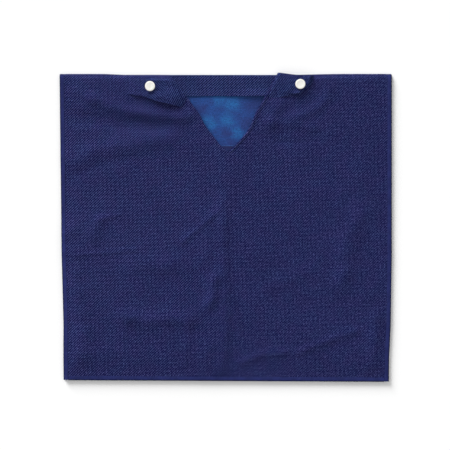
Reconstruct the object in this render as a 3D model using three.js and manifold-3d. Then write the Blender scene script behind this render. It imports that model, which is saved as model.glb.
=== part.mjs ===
// A pull-on protective apron of navy twill, lying flat with its front up.
//
// A front panel with a V neck lies on a back panel whose neck edge is faced with a turned band. Both
// panels are edged with narrow tape down the sides and along the bottom, and are seamed together at the
// shoulders. A shoulder tab folds over each side of the neck and is held down by a four-part press stud:
// cap and socket on the tab, stud and post on the front panel.
//
// Millimetres. +Z is up, out of the front. +Y runs towards the neck. Left and right are as seen from the
// front. The origin is under the middle of the apron, on the surface it lies on.

import * as THREE from 'three';
import { mergeVertices } from 'three/addons/utils/BufferGeometryUtils.js';
import Module from 'manifold-3d';

const wasm = await Module();
wasm.setup();

// ---------------------------------------------------------------- driving dimensions

const halfWidth = 240.5; // from the middle to a side edge, at the shoulders
const topEdge = 220.9; // the shoulder line
const bottomLeft = new THREE.Vector2( - 235.6, - 221.9 ); // the outer corners of the bottom edge
const bottomRight = new THREE.Vector2( 236.3, - 224.3 );

const cloth = 0.8; // thickness of the twill
const tape = 0.4; // thickness of the edging tape
const gap = 0.3; // air between two layers
const tapeWidth = 6;

const threadWidth = 0.6;
const threadHeight = 0.25;
const threadGap = 0.1;
const flatThread = 0.18; // thread pressed flat under a tab
const threadInset = 4.4; // an edging's stitching lies this far in from the apron's edge

const bandWidth = 29; // the turned band at the back of the neck
const bandLeft = - 92;
const bandRight = 90;
const bandStitchIn = 3; // from the band's lower edge up to its stitching
const bandStitchEnd = 2;

const neckPoint = new THREE.Vector2( 3, 108.9 ); // the bottom of the V
const neckLeftTop = - 83; // where the V meets the shoulder line
const neckRightTop = 72.5;

const capRadius = 7.15; // a plastic press stud cap of 14.3 mm
const capHeight = 2.2;
const capRim = 0.7; // the upright part of a cap's edge
const socketRadius = 5.2;
const socketHeight = 2.4;
const socketRoof = 0.6;
const studRadius = 2.3;
const studNeck = studRadius - 0.3;
const studHeight = 1.8; // over its flange
const flangeHeight = 0.9;
const postRadius = 1.2;
const postPlate = 0.9; // thickness of the plate at the foot of a post
const postHole = postRadius + gap;

const leftSnap = new THREE.Vector2( - 109.8, 203.9 );
const leftDrop = 11; // from a tab's fold line down to its press stud
const rightSnap = new THREE.Vector2( 107.4, 206.9 );
const rightDrop = 12.2;
const rightTabTurn = - THREE.MathUtils.degToRad( 8.8 ); // the right tab is folded askew

// ---------------------------------------------------------------- heights of the layers

const backTop = cloth; // the back panel lies on the ground
const bandZ = backTop + gap;
const bandStitchZ = bandZ + cloth + threadGap;
const frontZ = bandStitchZ + threadHeight + 2.5 * threadGap;
const frontTop = frontZ + cloth;
const seamZ = ( backTop + frontZ ) / 2; // the line that the front panel turns about
const tabRootZ = frontTop + gap;

const studTop = tabRootZ + flangeHeight + studHeight;
const socketZ = tabRootZ + flangeHeight + gap;
const socketTop = socketZ + socketHeight;
const tabRise = socketTop + gap - tabRootZ; // how far the tab stands over its own fold line
const capZ = tabRootZ + tabRise + cloth + gap;
const capPostEnd = socketTop - socketRoof + 0.2;
const shankTop = studTop - 0.2;
const tabTip = 0.8; // a tab's free edge stands this far over its fold line

// ---------------------------------------------------------------- materials

const finish = ( color, roughness ) => new THREE.MeshStandardMaterial( { color, roughness, metalness: 0 } );

const twill = finish( 0x272b55, 0.85 );
const facing = finish( 0x2b4b86, 0.9 );
const tapeFinish = finish( 0x2a2f5c, 0.8 );
const threadFinish = finish( 0x2c3060, 0.7 );
const capFinish = finish( 0xecece8, 0.35 );
const snapFinish = finish( 0xd8d8d2, 0.4 );

// ---------------------------------------------------------------- helpers

const apron = new THREE.Group();

function place( name, geometry, material, position = [ 0, 0, 0 ], parent = apron ) {

	const mesh = new THREE.Mesh( geometry, material );
	mesh.name = name;
	mesh.position.set( ...position );
	parent.add( mesh );
	return mesh;

}

function plate( shape, thickness ) {

	return new THREE.ExtrudeGeometry( shape, { depth: thickness, bevelEnabled: false, curveSegments: 8 } );

}

// A flat shape from a list of [x, y] corners.
function outline( corners ) {

	return new THREE.Shape( corners.map( p => new THREE.Vector2( ...p ) ) );

}

function rectangle( x0, y0, x1, y1 ) {

	return outline( [ [ x0, y0 ], [ x1, y0 ], [ x1, y1 ], [ x0, y1 ] ] );

}

function roundHole( centre, radius ) {

	return new THREE.Path().absarc( centre.x, centre.y, radius, 0, Math.PI * 2, true );

}

// A solid of revolution about +Z from a list of [radius, height] corners.
function turned( profile, segments = 32 ) {

	const points = profile.map( ( [ r, z ] ) => new THREE.Vector2( r, z ) );
	return new THREE.LatheGeometry( points, segments ).rotateX( Math.PI / 2 );

}

function toSolid( geometry ) {

	const bare = geometry.index ? geometry.toNonIndexed() : geometry.clone();
	bare.deleteAttribute( 'normal' );
	bare.deleteAttribute( 'uv' );
	const merged = mergeVertices( bare, 1e-4 );
	return new wasm.Manifold( new wasm.Mesh( {
		numProp: 3,
		vertProperties: merged.attributes.position.array,
		triVerts: new Uint32Array( merged.index.array ),
	} ) );

}

function toGeometry( solid ) {

	const mesh = solid.getMesh();
	const geometry = new THREE.BufferGeometry();
	const positions = new Float32Array( mesh.vertProperties );
	geometry.setAttribute( 'position', new THREE.BufferAttribute( positions, 3 ) );
	geometry.setIndex( new THREE.BufferAttribute( new Uint32Array( mesh.triVerts ), 1 ) );
	return geometry;

}

// ---------------------------------------------------------------- outlines

// The corners of a panel, set in from the apron's own outline so that its edging can cover it.
function panelCorners( inset ) {

	return [
		new THREE.Vector2( - halfWidth + inset, topEdge ),
		new THREE.Vector2( bottomLeft.x + inset, bottomLeft.y + inset ),
		new THREE.Vector2( bottomRight.x - inset, bottomRight.y + inset ),
		new THREE.Vector2( halfWidth - inset, topEdge ),
	];

}

// The two edges of the V neck, from the shoulder line down to the point, moved outwards by offset.
function neckEdge( side, offset = 0 ) {

	const corners = side < 0
		? [ [ neckLeftTop, topEdge ], [ - 59, 192 ], [ - 37.5, 162.5 ], [ - 31, 148.5 ], [ - 9, 119.5 ] ]
		: [ [ neckRightTop, topEdge ], [ 54, 185 ], [ 43.5, 167 ], [ 33.5, 144 ], [ 28, 134.5 ], [ 14, 119.5 ] ];
	const points = corners.map( ( [ x, y ] ) => new THREE.Vector2( x + side * offset, y ) );
	points.push( new THREE.Vector2( neckPoint.x, neckPoint.y - offset ) );
	return points;

}

function frontPanelShape() {

	const [ topLeft, lowLeft, lowRight, topRight ] = panelCorners( tape + gap );
	const neck = [ ...neckEdge( 1 ), ...neckEdge( - 1 ).reverse().slice( 1 ) ];
	const shape = new THREE.Shape( [ topLeft, lowLeft, lowRight, topRight, ...neck ] );
	shape.holes.push( roundHole( leftSnap, postHole ), roundHole( rightSnap, postHole ) );
	return shape;

}

// ---------------------------------------------------------------- edging tape and its stitching

// A tape turned over a panel's edge onto its face: an L in section, running down -Y from the origin.
function edgingGeometry( length ) {

	const high = cloth + gap + tape;
	const section = outline( [
		[ 0, threadGap ], [ tape, threadGap ], [ tape, high - tape ], [ tapeWidth, high - tape ],
		[ tapeWidth, high ], [ 0, high ],
	] );
	return plate( section, length ).rotateX( Math.PI / 2 );

}

function stitchingGeometry( length ) {

	const section = rectangle( - threadWidth / 2, 0, threadWidth / 2, threadHeight );
	return plate( section, length ).rotateX( Math.PI / 2 );

}

// Covers the edge of a panel from start to end, with the panel on its left hand.
function edge( name, start, end, panelZ ) {

	const along = end.clone().sub( start );
	const stitchZ = cloth + gap + tape + threadGap;
	const group = new THREE.Group();
	group.position.set( start.x, start.y, panelZ );
	group.rotation.z = along.angle() + Math.PI / 2;
	apron.add( group );
	place( name, edgingGeometry( along.length() ), tapeFinish, [ 0, 0, 0 ], group );
	place( name + '_stitching', stitchingGeometry( along.length() - 2 * threadWidth ), threadFinish,
		[ threadInset, - threadWidth, stitchZ ], group );

}

function edgePanel( side, panelZ ) {

	const topLeft = new THREE.Vector2( - halfWidth, topEdge );
	const topRight = new THREE.Vector2( halfWidth, topEdge );
	const along = bottomRight.clone().sub( bottomLeft ).normalize();
	const clear = tapeWidth + 2 * gap;
	edge( side + '_left_edging', topLeft, bottomLeft, panelZ );
	edge( side + '_right_edging', bottomRight, topRight, panelZ );
	edge( side + '_hem_edging', bottomLeft.clone().addScaledVector( along, clear ),
		bottomRight.clone().addScaledVector( along, - clear ), panelZ );

}

// ---------------------------------------------------------------- cloth pieces

place( 'back_panel', plate( new THREE.Shape( panelCorners( tape + gap ) ), cloth ), twill );
place( 'front_panel', plate( frontPanelShape(), cloth ), twill, [ 0, 0, frontZ ] );
edgePanel( 'back', 0 );
edgePanel( 'front', frontZ );

// The back panel's neck edge, turned to the inside and stitched down.
const bandLow = topEdge - bandWidth;
const band = rectangle( bandLeft, bandLow, bandRight, topEdge - gap );
place( 'back_neck_band', plate( band, cloth ), twill, [ 0, 0, bandZ ] );

const bandStitchY = bandLow + bandStitchIn;
const bandStitching = rectangle( bandLeft + bandStitchEnd, bandStitchY,
	bandRight - bandStitchEnd, bandStitchY + threadWidth );
place( 'neck_band_stitching', plate( bandStitching, threadHeight ), threadFinish, [ 0, 0, bandStitchZ ] );

// A small patch behind the point of the V keeps it from tearing.
const patch = outline( [ [ - 12, 119 ], [ - 4, 92 ], [ 10, 92 ], [ 18, 119 ] ] );
place( 'neck_point_patch', plate( patch, cloth ), facing, [ 0, 0, bandZ ] );

// One line of stitching follows both edges of the V.
function neckStitchingShape() {

	const inner = 4;
	const outer = inner + threadWidth;
	const loop = [ ...neckEdge( - 1, outer ), ...neckEdge( 1, outer ).reverse().slice( 1 ),
		...neckEdge( 1, inner ), ...neckEdge( - 1, inner ).reverse().slice( 1 ) ];
	const below = topEdge - 1;
	return new THREE.Shape( loop.map( p => new THREE.Vector2( p.x, Math.min( p.y, below ) ) ) );

}

place( 'v_neck_stitching', plate( neckStitchingShape(), flatThread ), threadFinish,
	[ 0, 0, frontTop + flatThread / 3 ] );

// The two panels are joined along each shoulder by a narrow overlocked seam on the line they turn about.
function shoulderSeam( name, x0, x1 ) {

	const radius = threadWidth / 2;
	const seam = new THREE.CylinderGeometry( radius, radius, x1 - x0, 12 ).rotateZ( Math.PI / 2 );
	place( name, seam, threadFinish, [ ( x0 + x1 ) / 2, topEdge, seamZ ] );

}

const seamClear = 2; // from a shoulder seam's end to the edging or the band
const seamOuter = halfWidth - tapeWidth - seamClear;
shoulderSeam( 'left_shoulder_seam', - seamOuter, bandLeft - seamClear );
shoulderSeam( 'right_shoulder_seam', bandRight + seamClear, seamOuter );

// ---------------------------------------------------------------- shoulder tabs

// A tab in section, across its fold line: it rises off the line, runs level over the press stud, and
// comes down towards its free edge.
function tabSection( drop, reach ) {

	const levelFrom = - drop + socketRadius;
	const levelTo = - drop - socketRadius - 3;
	const lower = [ [ 0, 0 ], [ levelFrom, tabRise ], [ levelTo, tabRise ], [ - reach, tabTip ] ];
	const upper = lower.map( ( [ y, z ] ) => [ y, z + cloth ] ).reverse();
	return outline( [ ...lower, ...upper ] );

}

// The section swept along the fold line, cut to the tab's outline and pierced for the cap's post.
function tabGeometry( corners, drop ) {

	const span = 120; // wider than any tab
	const reach = 5 - Math.min( ...corners.map( ( [ , y ] ) => y ) );
	const sweep = plate( tabSection( drop, reach ), span );
	// The section's own x and y become the tab's y and z.
	const turn = new THREE.Matrix4().makeBasis(
		new THREE.Vector3( 0, 1, 0 ), new THREE.Vector3( 0, 0, 1 ), new THREE.Vector3( 1, 0, 0 ) );
	sweep.applyMatrix4( turn ).translate( - span / 2, 0, 0 );
	const shape = outline( corners );
	shape.holes.push( roundHole( new THREE.Vector2( 0, - drop ), postHole ) );
	const cutter = plate( shape, 40 ).translate( 0, 0, - 10 );
	return toGeometry( toSolid( sweep ).intersect( toSolid( cutter ) ) );

}

// The tabs' corners, from the point of the fold line above the press stud.
const leftTabCorners = [
	[ - 31, 0 ], [ - 33, - 12 ], [ - 29, - 26.5 ], [ - 12, - 28.5 ], [ 2, - 32.5 ], [ 20, - 38 ],
	[ 38, - 42 ], [ 44, - 41 ], [ 47.5, - 34 ], [ 46, - 19 ], [ 31, 0 ],
];

const rightTabCorners = [
	[ - 34.5, 0 ], [ - 36.6, - 4 ], [ - 40.6, - 18 ], [ - 44.3, - 33.2 ], [ - 20.7, - 35.1 ],
	[ - 10.7, - 34.5 ], [ - 1, - 31.5 ], [ 6.3, - 26.3 ], [ 15, - 14 ], [ 18.7, - 8 ], [ 19.5, 0 ],
];

// ---------------------------------------------------------------- press studs

// The domed cap and its post, which is headed over inside the socket.
function capGeometry() {

	const domeHeight = capHeight - capRim;
	const dome = new THREE.EllipseCurve( 0, capRim, capRadius, domeHeight, 0, Math.PI / 2 ).getPoints( 8 );
	const postEnd = capPostEnd - capZ;
	return turned( [
		[ 0, postEnd ], [ postRadius, postEnd ], [ postRadius, 0 ], [ capRadius - 0.4, 0 ],
		...dome.slice( 0, - 1 ).map( p => [ p.x, p.y ] ), [ 0, capHeight ],
	] );

}

function socketGeometry() {

	const high = socketHeight;
	const bore = studRadius + gap;
	const roof = high - socketRoof;
	return turned( [
		[ bore, 0 ], [ socketRadius - 0.5, 0 ], [ socketRadius, 0.5 ], [ socketRadius, high - 0.5 ],
		[ socketRadius - 0.8, high ], [ postHole, high ], [ postHole, roof ], [ bore, roof ], [ bore, 0 ],
	] );

}

function studGeometry() {

	const high = flangeHeight + studHeight;
	return turned( [
		[ postHole, 0 ], [ socketRadius, 0 ], [ socketRadius, flangeHeight - 0.3 ],
		[ socketRadius - 0.4, flangeHeight ], [ studNeck, flangeHeight ], [ studNeck, flangeHeight + 0.5 ],
		[ studRadius, flangeHeight + 0.9 ], [ studRadius, high - 0.4 ], [ studRadius - 0.4, high ],
		[ postHole, high ], [ postHole, 0 ],
	] );

}

// The post's plate lies under the front panel, and its shank comes up through the cloth and the stud.
function postGeometry( plateZ ) {

	const shank = shankTop - plateZ;
	return turned( [
		[ 0, 0 ], [ socketRadius + 0.6, 0 ], [ socketRadius + 0.8, postPlate / 2 ],
		[ socketRadius + 0.6, postPlate ], [ postRadius, postPlate ], [ postRadius, shank ], [ 0, shank ],
	] );

}

// ---------------------------------------------------------------- a shoulder: tab and press stud

// A short seam on the front panel holds the tab's root between seamFrom and seamTo along its fold line.
function shoulder( side, { snap, drop, turn, corners, seamFrom, seamTo } ) {

	const group = new THREE.Group();
	group.position.set( snap.x, snap.y, 0 );
	group.rotation.z = turn;
	apron.add( group );
	place( side + '_shoulder_tab', tabGeometry( corners, drop ), twill, [ 0, drop, tabRootZ ], group );
	place( side + '_snap_cap', capGeometry(), capFinish, [ 0, 0, capZ ], group );
	place( side + '_snap_socket', socketGeometry(), snapFinish, [ 0, 0, socketZ ], group );
	place( side + '_snap_stud', studGeometry(), snapFinish, [ 0, 0, tabRootZ ], group );
	const plateZ = frontZ - gap - postPlate;
	place( side + '_snap_post', postGeometry( plateZ ), snapFinish, [ 0, 0, plateZ ], group );
	const seam = plate( rectangle( seamFrom, - threadWidth, seamTo, 0 ), flatThread );
	place( side + '_tab_seam', seam, threadFinish, [ 0, drop, frontTop + flatThread / 3 ], group );

}

shoulder( 'left', {
	snap: leftSnap, drop: leftDrop, turn: 0, corners: leftTabCorners, seamFrom: - 29, seamTo: 22,
} );
shoulder( 'right', {
	snap: rightSnap, drop: rightDrop, turn: rightTabTurn, corners: rightTabCorners,
	seamFrom: - 15, seamTo: 17,
} );

export default apron;
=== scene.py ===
"""Makes a pull-on apron of navy twill, lying flat with its front up, its two shoulder tabs snapped down.

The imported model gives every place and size. Lengths here are in millimetres unless a name says metres, and
a mesh is turned into metres as it is made.
"""

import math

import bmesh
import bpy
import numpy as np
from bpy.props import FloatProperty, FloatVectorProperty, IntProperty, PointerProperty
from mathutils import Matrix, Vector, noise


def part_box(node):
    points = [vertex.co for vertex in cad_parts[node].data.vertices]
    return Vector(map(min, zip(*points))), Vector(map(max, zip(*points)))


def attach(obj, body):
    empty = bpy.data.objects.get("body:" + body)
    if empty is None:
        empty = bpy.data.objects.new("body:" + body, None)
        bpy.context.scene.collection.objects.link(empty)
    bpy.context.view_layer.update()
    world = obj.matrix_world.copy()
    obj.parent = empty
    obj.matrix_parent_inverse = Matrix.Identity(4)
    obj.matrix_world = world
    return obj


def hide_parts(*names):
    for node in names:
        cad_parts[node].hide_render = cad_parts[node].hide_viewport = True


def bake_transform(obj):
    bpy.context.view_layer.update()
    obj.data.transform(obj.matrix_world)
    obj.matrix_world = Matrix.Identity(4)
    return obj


bl_info = {
    "name": "Snap Shoulder Apron",
    "version": (1, 0, 0),
    "blender": (4, 5, 0),
    "location": "View3D > Sidebar > Apron",
    "description": "Makes a pull-on twill apron with snapped shoulder tabs, lying flat",
    "category": "Add Mesh",
}

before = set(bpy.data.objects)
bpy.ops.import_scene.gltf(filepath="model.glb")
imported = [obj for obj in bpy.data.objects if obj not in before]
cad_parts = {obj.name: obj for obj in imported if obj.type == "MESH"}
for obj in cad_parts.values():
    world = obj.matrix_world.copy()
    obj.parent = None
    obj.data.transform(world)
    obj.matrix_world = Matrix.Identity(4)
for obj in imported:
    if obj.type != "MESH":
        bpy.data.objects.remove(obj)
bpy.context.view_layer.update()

MM = 0.001


# ---------------------------------------------------------------- readings from the frame


def span(node):
    """The lowest and highest corner of a CAD node."""
    low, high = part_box(node)
    return np.array(low) / MM, np.array(high) / MM


def points_of(node):
    """The vertices of a CAD node."""
    return np.array([v.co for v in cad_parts[node].data.vertices]) / MM


def corner(points, to_right, to_neck):
    """The point furthest towards a corner, in plan."""
    return points[np.argmax(points[:, 0] * to_right + points[:, 1] * to_neck)][:2]


PANEL = points_of("front_panel")
TOP_EDGE = span("front_panel")[1][1]
FRONT_TOP = span("front_panel")[1][2]
BACK_TOP = span("back_panel")[1][2]
CLOTH = BACK_TOP - span("back_panel")[0][2]
BAND_LOW, BAND_HIGH = span("back_neck_band")
PATCH_LOW, PATCH_HIGH = span("neck_point_patch")
SEAM_Z = np.mean([span("left_shoulder_seam")[0][2], span("left_shoulder_seam")[1][2]])
CORNERS = {
    "top_left": corner(PANEL, -1, 1),
    "top_right": corner(PANEL, 1, 1),
    "low_left": corner(PANEL, -1, -1),
    "low_right": corner(PANEL, 1, -1),
}
HEM = (CORNERS["low_left"][1] + CORNERS["low_right"][1]) / 2
SNAP = {side: np.mean(span(side + "_snap_cap"), axis=0)[:2] for side in ("left", "right")}

# The neck's own corners are those of the panel that lie between the two snaps and well above the hem.
NECK_AREA = PANEL[(np.abs(PANEL[:, 0]) < 95) & (PANEL[:, 1] > 60)]
NECK_POINT = NECK_AREA[np.argmin(NECK_AREA[:, 1])][:2]


def neck_corners(side):
    """One edge of the V, from its point up to the shoulder line, as rows of x and y."""
    mine = NECK_AREA[(NECK_AREA[:, 0] - NECK_POINT[0]) * side >= 0][:, :2]
    rows = np.unique(np.round(mine, 3), axis=0)
    return rows[np.argsort(rows[:, 1])]


def neck_edge(side):
    """A table of the V's edge, a millimetre apart, with its corners softened."""
    rows = neck_corners(side)
    ys = np.arange(rows[0, 1], TOP_EDGE + 0.5, 1.0)
    xs = np.interp(ys, rows[:, 1], rows[:, 0])
    reach = 5
    padded = np.concatenate([2 * xs[0] - xs[reach:0:-1], xs, 2 * xs[-1] - xs[-2 : -reach - 2 : -1]])
    kernel = np.hanning(2 * reach + 3)[1:-1]
    return ys, np.convolve(padded, kernel / kernel.sum(), mode="valid")


NECK = {-1: neck_edge(-1), 1: neck_edge(1)}


def neck_x(side, y):
    """The x of one edge of the V."""
    ys, xs = NECK[side]
    return np.interp(y, ys, xs)


# ---------------------------------------------------------------- how the cloth lies


def ease(t):
    """A smooth step from 0 to 1 as t goes from 0 to 1."""
    t = np.clip(t, 0, 1)
    return t * t * (3 - 2 * t)


def rumple(x, y, size, seed):
    """Smooth noise from -1 to 1 with hills about size across."""
    flat = np.broadcast_arrays(np.asarray(x, float), np.asarray(y, float))
    values = [noise.noise((a / size, b / size, seed)) for a, b in zip(flat[0].ravel(), flat[1].ravel())]
    return np.array(values).reshape(flat[0].shape)


def beside(x, y, line):
    """How far each point lies from a line of points, how far along it that is, and how long the line is."""
    line = np.array(line, float)
    nearest, along, done = np.full(np.shape(x), np.inf), np.zeros(np.shape(x)), 0.0
    for start, end in zip(line[:-1], line[1:]):
        step = end - start
        length = np.hypot(*step)
        t = np.clip(((x - start[0]) * step[0] + (y - start[1]) * step[1]) / length**2, 0, 1)
        off = np.hypot(x - start[0] - t * step[0], y - start[1] - t * step[1])
        along = np.where(off < nearest, done + t * length, along)
        nearest = np.minimum(off, nearest)
        done += length
    return nearest, along, done


def crease(x, y, line, width, height):
    """A soft ridge along a line, or a valley where height is negative, that fades out at its two ends."""
    line = np.array(line, float)
    first, last = line[0] - line[1], line[-1] - line[-2]
    line[0] += first / np.hypot(*first) * width
    line[-1] += last / np.hypot(*last) * width
    off, along, length = beside(x, y, line)
    fading = min(length * 0.35, width * 2.5)
    fade = ease(along / fading) * ease((length - along) / fading)
    return height * fade * np.exp(-((off / width) ** 2))


# Where the front panel's cloth rises and dips: the line, width and height of each crease.
FRONT_CREASES = [
    # Across the left shoulder and below the left tab.
    ([(-200, 190), (-170, 177), (-148, 169), (-103, 162), (-63, 159), (-46, 163)], 8, 2.6),
    ([(-232, 160), (-190, 155), (-148, 149), (-103, 146), (-74, 146)], 9, -2.6),
    ([(-235, 92), (-200, 106), (-170, 114), (-140, 118), (-105, 124), (-75, 131)], 15, 2.6),
    ([(-234, 68), (-200, 84), (-170, 96), (-135, 101)], 6, -0.5),
    ([(-222, 203), (-196, 180), (-165, 170)], 5, 0.8),
    # Down the left side.
    ([(-154, 55), (-147, 24)], 3, 0.5),
    ([(-150, 19), (-190, 11)], 4, 0.8),
    ([(-183, 14), (-194, -18)], 10, 1.8),
    ([(-219, -41), (-128, -32)], 3, 0.7),
    ([(-156, -127), (-118, -136), (-90, -131), (-58, -134), (-32, -124)], 12, 2.4),
    ([(-30, -122), (-19, -102), (-16, -68)], 8, 2.2),
    ([(-150, -56), (-100, -54), (-45, -58)], 13, 1.5),
    ([(-228, 10), (-220, -50), (-213, -90), (-211, -130), (-210, -200)], 16, 2.8),
    ([(-150, -162), (-137, -127)], 4, 0.5),
    ([(-53, -137), (-61, -205)], 5, 0.6),
    # Down the middle, where it was once folded.
    ([(-66, -24), (-7, 27)], 4.5, 0.9),
    ([(-6, 45), (-3, -30), (1, -110), (0, -150), (-8, -215)], 9, 1.7),
    ([(-24, 30), (-23, -50), (-18, -120), (-26, -215)], 17, 1.3),
    # Below the right tab.
    ([(84, 192), (74, 166), (62, 140)], 13, 1.9),
    ([(58, 153), (100, 149), (133, 141)], 8, 1.4),
    ([(70, 124), (125, 122)], 4, -0.5),
    ([(152, 206), (146, 188), (132, 172), (108, 161), (85, 160)], 8, 1.6),
    # Down the right side.
    ([(166, 55), (162, 10)], 3, 0.5),
    ([(194, 30), (180, -10), (172, -50), (168, -95)], 15, 2.4),
    ([(205, 15), (214, -30), (222, -75)], 6, -0.5),
    ([(218, -122), (216, -170), (210, -214)], 11, 2.0),
    ([(98, -184), (143, -166), (194, -148)], 6, 1.1),
    ([(17, -198), (53, -184), (93, -181)], 6, 1.3),
    ([(50, -95), (95, -72), (130, -60)], 11, 0.6),
    ([(10, -99), (21, -160)], 4, 0.5),
]
PANEL_RISE = 1.7  # how far the middle of the front panel stands over its edges
PANEL_EASE = 45  # how far in from the edges that rise is complete
SINK = 4  # how sharply a dip flattens out on the panel below it
TOP_FADE = 9  # how far below the shoulder line the rises and dips die away
TOP_BEND = 3  # how far below the shoulder line the two panels bend to meet in its seam

# The turned edges of the V: how round they stand, how far out they are highest, and how far that spreads.
TURN_ROUND, TURN_MIDDLE, TURN_SPREAD = 0.8, 2.6, 2.2

# The pleat beside the left tab: its lower edge, and how far it stands over the cloth below it.
PLEAT_EDGE = [(-141, 192.5), (-132, 189.4), (-124, 189.2), (-118, 188.2), (-110, 185.6), (-100, 183)]
PLEAT_RISE = 3.0


def pleat(x, y):
    """The pleat's height: a sharp step at its lower edge, easing away towards the shoulder and the side."""
    line = np.array(PLEAT_EDGE, float)
    above = y - np.interp(x, line[:, 0], line[:, 1])
    across = ease((x - line[0, 0] + 2) / 9) * ease((-78 - x) / 16)
    return PLEAT_RISE * across * ease((above + 0.6) / 1.6) * (1 - 0.75 * ease(above / 24))


# How far each side, as laid down, bows to the right of the straight line between its corners: y and bow.
SIDE_BOW = {
    -1: [(-190, 0), (-140, 0.7), (-40, -0.8), (220, -1)],
    1: [(-190, 0), (-140, 1.9), (-40, 2.5), (50, 1.6), (220, 0.1)],
}
# How far the shoulder line rises over its seam towards its two ends: x and rise.
SHOULDER_RISE = [(-177, 1.4), (-148, 0.1), (100, 0.1), (142, 1.1), (165, 1.4)]


def panel_side(side, y):
    """The x of a panel's left or right edge."""
    name = "left" if side < 0 else "right"
    low, top = CORNERS["low_" + name], CORNERS["top_" + name]
    rows = np.array(SIDE_BOW[side], float)
    return np.interp(y, [low[1], top[1]], [low[0], top[0]]) + np.interp(y, rows[:, 0], rows[:, 1])


def near_shoulder(y, reach):
    """Rises from 0 to 1 over the last stretch below the shoulder line."""
    return ease((y - TOP_EDGE + reach) / reach)


def laid(x, y):
    """Where a point near the shoulders lies once the shoulder line has its small waves."""
    rows = np.array(SHOULDER_RISE, float)
    return y + np.interp(x, rows[:, 0], rows[:, 1]) * near_shoulder(y, 25)


def edge_distance(x, y):
    """About how far a point lies inside the panel's outline."""
    left, right = panel_side(-1, y), panel_side(1, y)
    low = np.interp(x, [left.min(), right.max()], [CORNERS["low_left"][1], CORNERS["low_right"][1]])
    return np.minimum.reduce([x - left, right - x, y - low])


def front_height(x, y):
    """The height of the front panel's upper face."""
    x, y = np.asarray(x, float), np.asarray(y, float)
    inside = ease(edge_distance(x, y) / PANEL_EASE)
    lift = inside * (PANEL_RISE + 0.35 * rumple(x, y, 85, 3.1) + 0.12 * rumple(x, y, 34, 7.7))
    lift = lift + 0.1 * rumple(x, y, 12, 5.3) + 0.12
    # A crease is higher in some places than in others.
    uneven = 1 + 0.5 * rumple(x, y, 23, 4.1)
    for line, width, height in FRONT_CREASES:
        lift = lift + uneven * crease(x, y, line, width, height)
    # The turned edges of the V stand a little round, all the way down to its point.
    for side in (-1, 1):
        off = np.abs(x - neck_x(side, y) - TURN_MIDDLE * side)
        lift = lift + TURN_ROUND * np.exp(-((off / TURN_SPREAD) ** 2)) * ease((y - NECK_POINT[1] + 4) / 6)
    # The cloth can't sink into the panel below it, and the shoulder's own edge bends down to its seam.
    lift = np.logaddexp(0, SINK * lift) / SINK + pleat(x, y)
    lift = lift * (1 - near_shoulder(y, TOP_FADE))
    drop = near_shoulder(y, TOP_BEND) * (FRONT_TOP - SEAM_Z) * 0.75
    return FRONT_TOP + lift - drop


def back_height(x, y):
    """The height of the back panel's upper face, which is the inside of the garment."""
    inside = ease(edge_distance(x, y) / 30)
    lift = inside * (0.25 + 0.25 * rumple(x, y, 30, 11.2) + 0.12 * rumple(x, y, 11, 2.9))
    rise = near_shoulder(y, TOP_BEND) * 0.5
    return BACK_TOP + np.maximum(lift, 0) + rise


# ---------------------------------------------------------------- making meshes


def deselect():
    """Leaves nothing selected."""
    bpy.ops.object.select_all(action="DESELECT")


def take(obj):
    """Makes obj the one selected, active object."""
    deselect()
    obj.select_set(True)
    bpy.context.view_layer.objects.active = obj
    return obj


def apply(obj, kind, **settings):
    """Adds a modifier to obj and applies it."""
    take(obj)
    modifier = obj.modifiers.new(kind.title(), kind)
    for key, value in settings.items():
        setattr(modifier, key, value)
    bpy.ops.object.modifier_apply(modifier=modifier.name)
    return obj


def new_object(name, points, faces, weave):
    """A mesh object from points in millimetres. weave holds each point's place on the flat cloth."""
    mesh = bpy.data.meshes.new(name)
    mesh.from_pydata((np.asarray(points) * MM).tolist(), [], faces)
    corners = np.zeros(len(mesh.loops), np.int32)
    mesh.loops.foreach_get("vertex_index", corners)
    layer = mesh.uv_layers.new(name="weave")
    layer.data.foreach_set("uv", (np.asarray(weave)[corners] * MM).astype(np.float32).ravel())
    obj = bpy.data.objects.new(name, mesh)
    bpy.context.scene.collection.objects.link(obj)
    return take(obj)


def quads(rows, columns, start=0):
    """The faces of a grid of points, facing up where rows run towards +Y and columns towards +X."""
    faces = []
    for r in range(rows - 1):
        for c in range(columns - 1):
            a = start + r * columns + c
            faces.append((a, a + 1, a + columns + 1, a + columns))
    return faces


def cloth(name, patches, weaves=None, outside=None, inside=None):
    """A sheet of cloth whose upper face is the patches, which are grids of points that share their edges."""
    points, faces, flat = [], [], []
    for k, patch in enumerate(patches):
        rows, columns = patch.shape[:2]
        faces += quads(rows, columns, sum(len(p) for p in points))
        points.append(patch.reshape(-1, 3))
        flat.append((patch[..., :2] if weaves is None else weaves[k]).reshape(-1, 2))
    obj = new_object(name, np.concatenate(points), faces, np.concatenate(flat))
    bpy.ops.object.mode_set(mode="EDIT")
    bpy.ops.mesh.select_all(action="SELECT")
    bpy.ops.mesh.remove_doubles(threshold=0.00001)
    bpy.ops.object.mode_set(mode="OBJECT")
    obj.data.materials.append(outside)
    obj.data.materials.append(inside or outside)
    apply(obj, "SOLIDIFY", thickness=CLOTH * MM, offset=-1, material_offset=1, material_offset_rim=0)
    bpy.ops.object.shade_smooth_by_angle(angle=math.radians(50))
    return obj


def face_outwards(smooth_below):
    """Turns the active object's faces outwards, and smooths its edges below an angle in degrees."""
    bpy.ops.object.mode_set(mode="EDIT")
    bpy.ops.mesh.select_all(action="SELECT")
    bpy.ops.mesh.normals_make_consistent(inside=False)
    bpy.ops.object.mode_set(mode="OBJECT")
    bpy.ops.object.shade_smooth_by_angle(angle=math.radians(smooth_below))


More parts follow.
